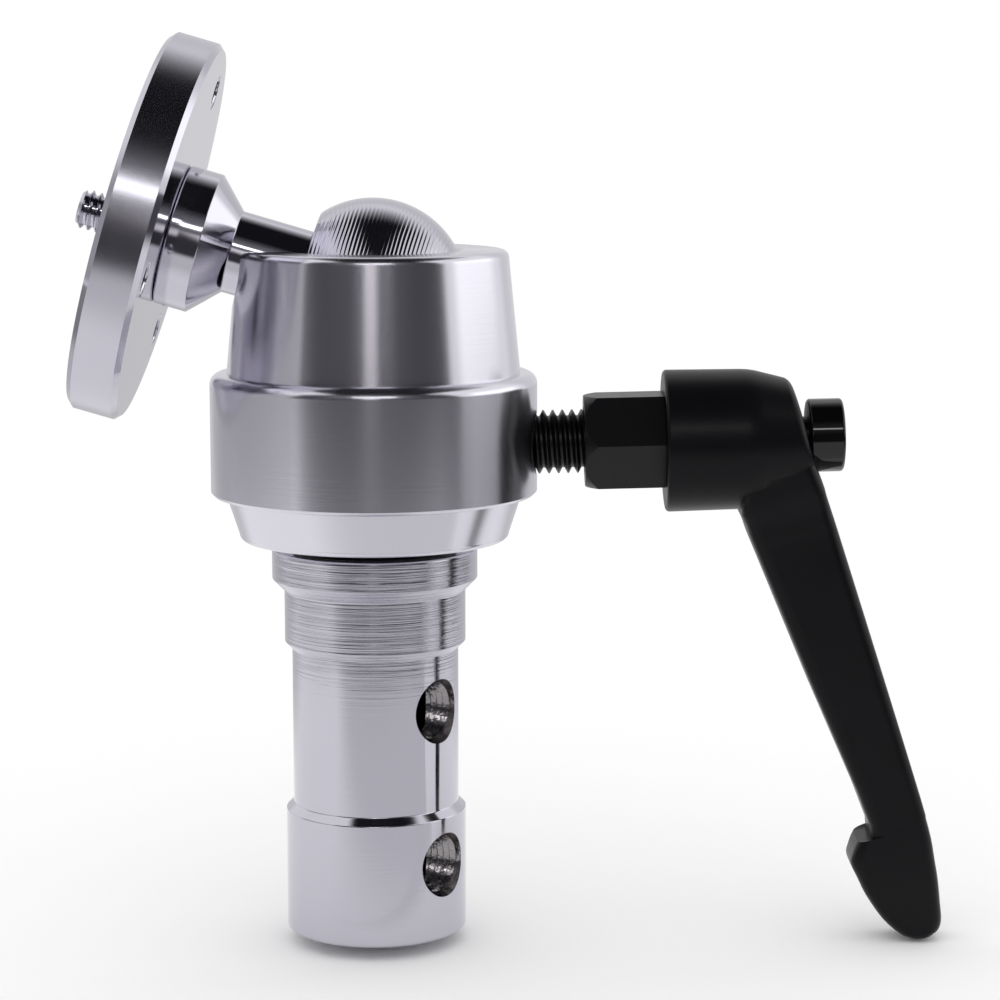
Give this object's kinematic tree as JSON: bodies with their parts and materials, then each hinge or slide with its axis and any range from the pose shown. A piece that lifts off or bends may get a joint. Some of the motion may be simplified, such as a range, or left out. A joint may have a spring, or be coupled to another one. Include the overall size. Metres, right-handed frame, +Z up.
{
  "type": "gimbal bracket",
  "caption": "Ball joint with a round camera plate on a stem that drops into a side notch, clamped by a ratchet lever and standing on a grooved spigot with a socket.",
  "frame": {"origin": "Centre of the spigot's lower end, on the axis of the spigot and the housing.", "axes": "+Z up along the spigot, +X from the ball towards the clamping lever, +Y away from the pictured side; the notch and the stem lie on -X."},
  "size_m": [0.1374, 0.0604, 0.1435],
  "materials": {
    "satin_aluminium": "satin, with fine turning marks",
    "bright_chrome": "bright chrome plating",
    "turned_chrome": "chrome plating over fine turning grooves",
    "black_casting": "fine-textured black powder coat",
    "black_oxide": "black oxide",
    "brass": "turned",
    "nylon": "moulded",
    "spring_steel": "plain"
  },
  "bodies": {
    "base": {"spigot": "bright_chrome", "spigot_screw": "black_oxide", "spigot_washer": "nylon", "base_cap": "satin_aluminium", "ball_housing": "satin_aluminium", "upper_liner": "nylon"},
    "clamp_lift": {"lift_plunger": "brass", "disc_spring": "spring_steel", "ball_seat": "nylon"},
    "ball": {"clamp_ball": "turned_chrome"},
    "plate": {"ball_stem": "bright_chrome", "camera_plate": "bright_chrome", "camera_stud": "bright_chrome", "plate_dowel_1": "spring_steel", "plate_dowel_2": "spring_steel"},
    "thrust": {"thrust_cone": "brass"},
    "clamp_screw": {"clamp_stud": "black_oxide", "hex_insert": "black_oxide", "lever_screw": "black_oxide", "lever_spring": "spring_steel"},
    "handle": {"lever_handle": "black_casting"}
  },
  "joints": [
    {"name": "ball_tilt", "type": "hinge", "parent": "base", "child": "ball", "pos_m": [0, 0, 0.1014], "axis": [0, 1, 0], "range_deg": [0, 111]},
    {"name": "plate_spin", "type": "hinge", "parent": "ball", "child": "plate", "pos_m": [0, 0, 0.1014], "axis": [-0.9598, 0, 0.2807], "continuous": true},
    {"name": "stud_feed", "type": "slide", "parent": "base", "child": "thrust", "axis": [1, 0, 0], "range_m": [0, 0.00113]},
    {"name": "lever_turn", "type": "hinge", "parent": "thrust", "child": "clamp_screw", "pos_m": [0.02999, 0, 0.07805], "axis": [0.9997, 0, 0.0244], "range_deg": [0, 270]},
    {"name": "lift_drop", "type": "slide", "parent": "base", "child": "clamp_lift", "axis": [0, 0, -1], "range_m": [0, 0.00113]},
    {"name": "handle_pull", "type": "slide", "parent": "clamp_screw", "child": "handle", "axis": [0.9997, 0, 0.0244], "range_m": [0, 0.005], "stiffness_N_per_m": 1200, "springref_m": -0.004, "deforming": ["lever_spring"]}
  ],
  "couplings": [
    {"joint": "stud_feed", "follows": "lever_turn", "m_per_rad": 0.00023873},
    {"joint": "lift_drop", "follows": "lever_turn", "m_per_rad": 0.00023873}
  ]
}
